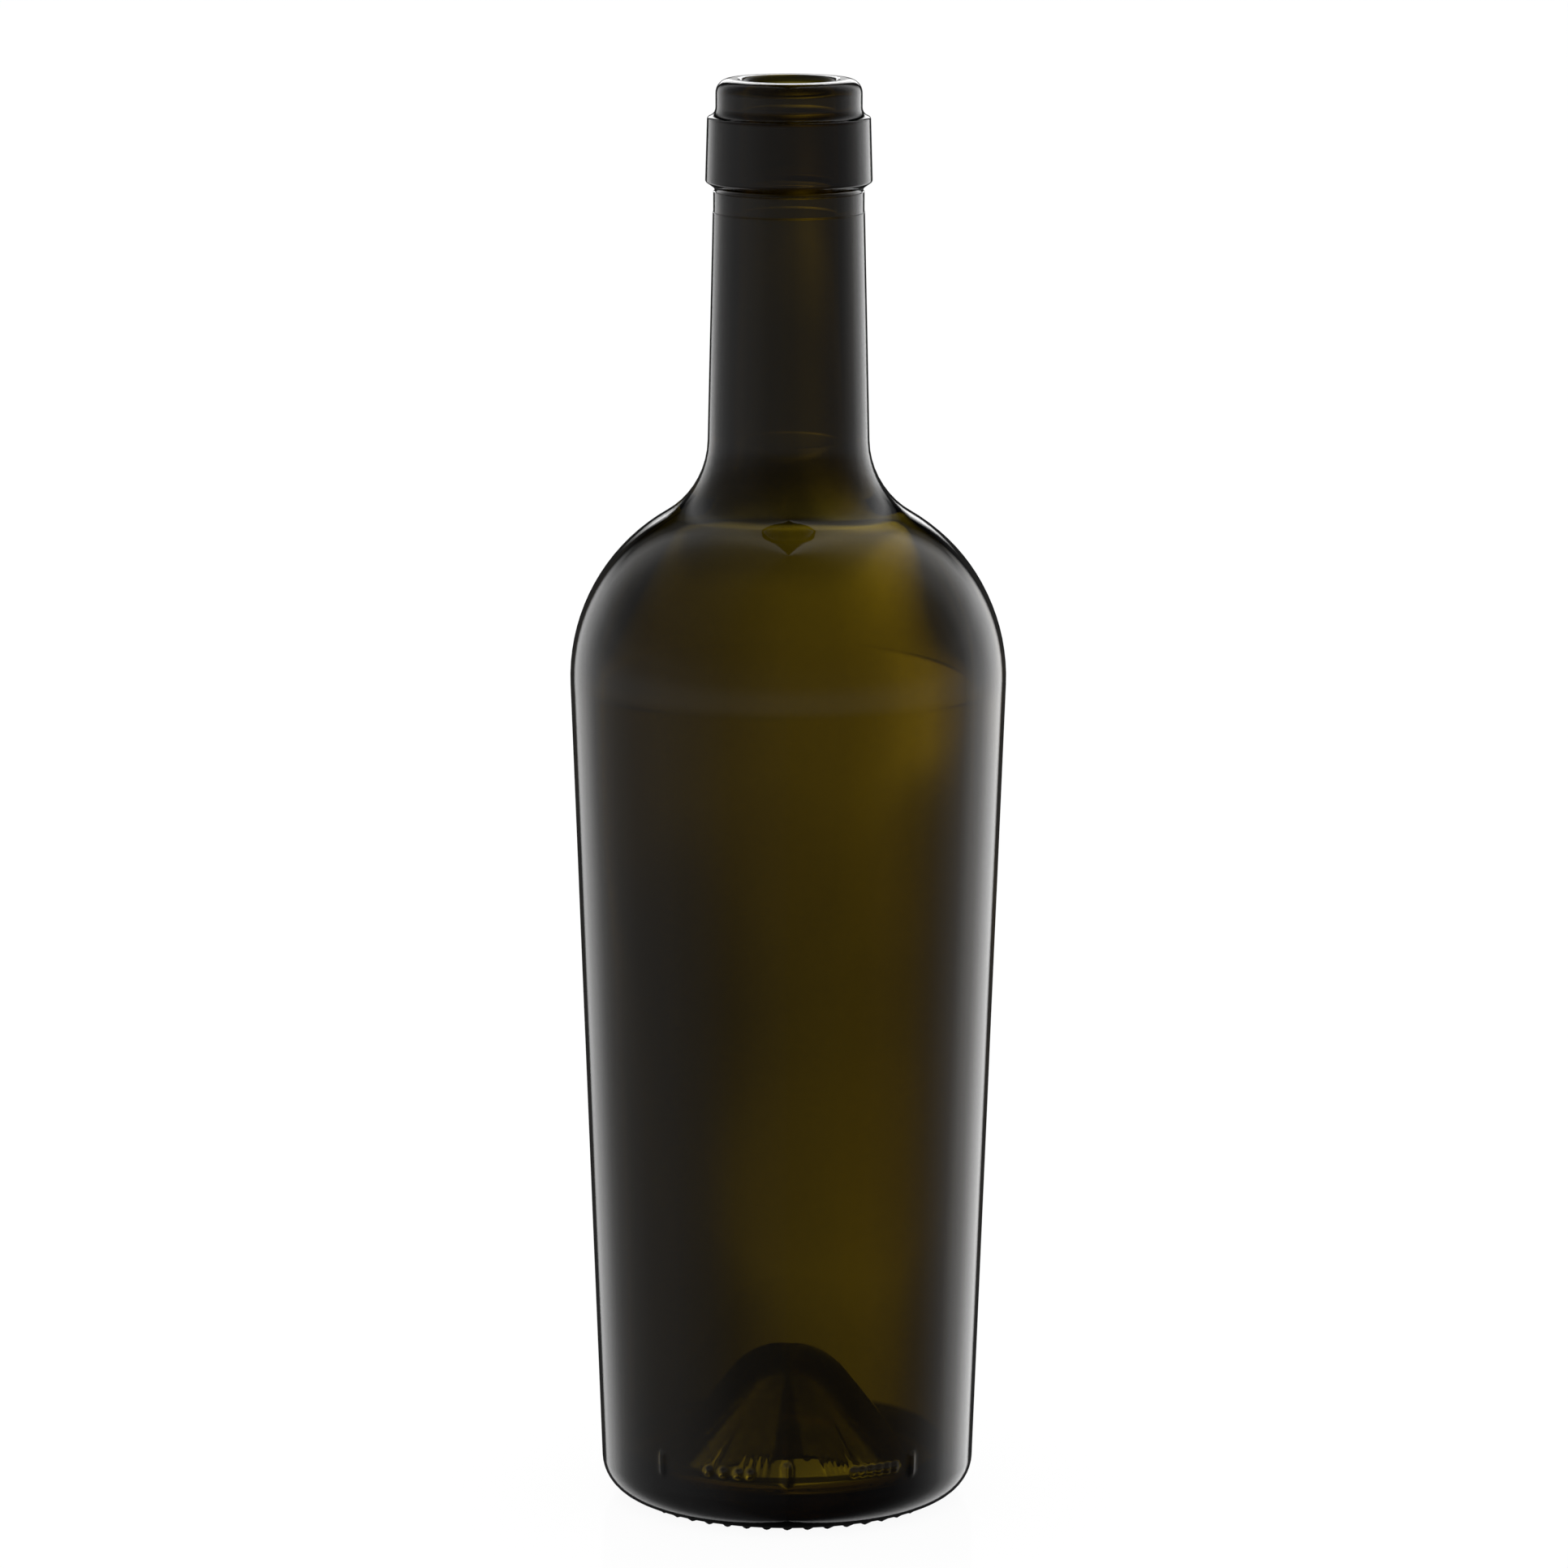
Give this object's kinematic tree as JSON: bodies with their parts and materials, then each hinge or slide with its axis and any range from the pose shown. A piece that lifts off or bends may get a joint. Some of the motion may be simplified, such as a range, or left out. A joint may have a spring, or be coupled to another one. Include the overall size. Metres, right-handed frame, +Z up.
{
  "type": "wine bottle",
  "caption": "Empty wine bottle of thick dark green glass: body tapering down to the heel, round shoulder, slim neck, banded cork mouth, deep punt in a knurled base.",
  "frame": {"origin": "centre of the base, in the plane that the knurls of the bearing ring stand on", "axes": "+Z up along the bottle's axis, -Y towards the side that carries the mould code, +X to the right of that side"},
  "size_m": [0.088, 0.088, 0.29],
  "materials": {
    "glass": "gloss"
  },
  "bodies": {
    "root": {"bottle": "glass"}
  },
  "joints": []
}
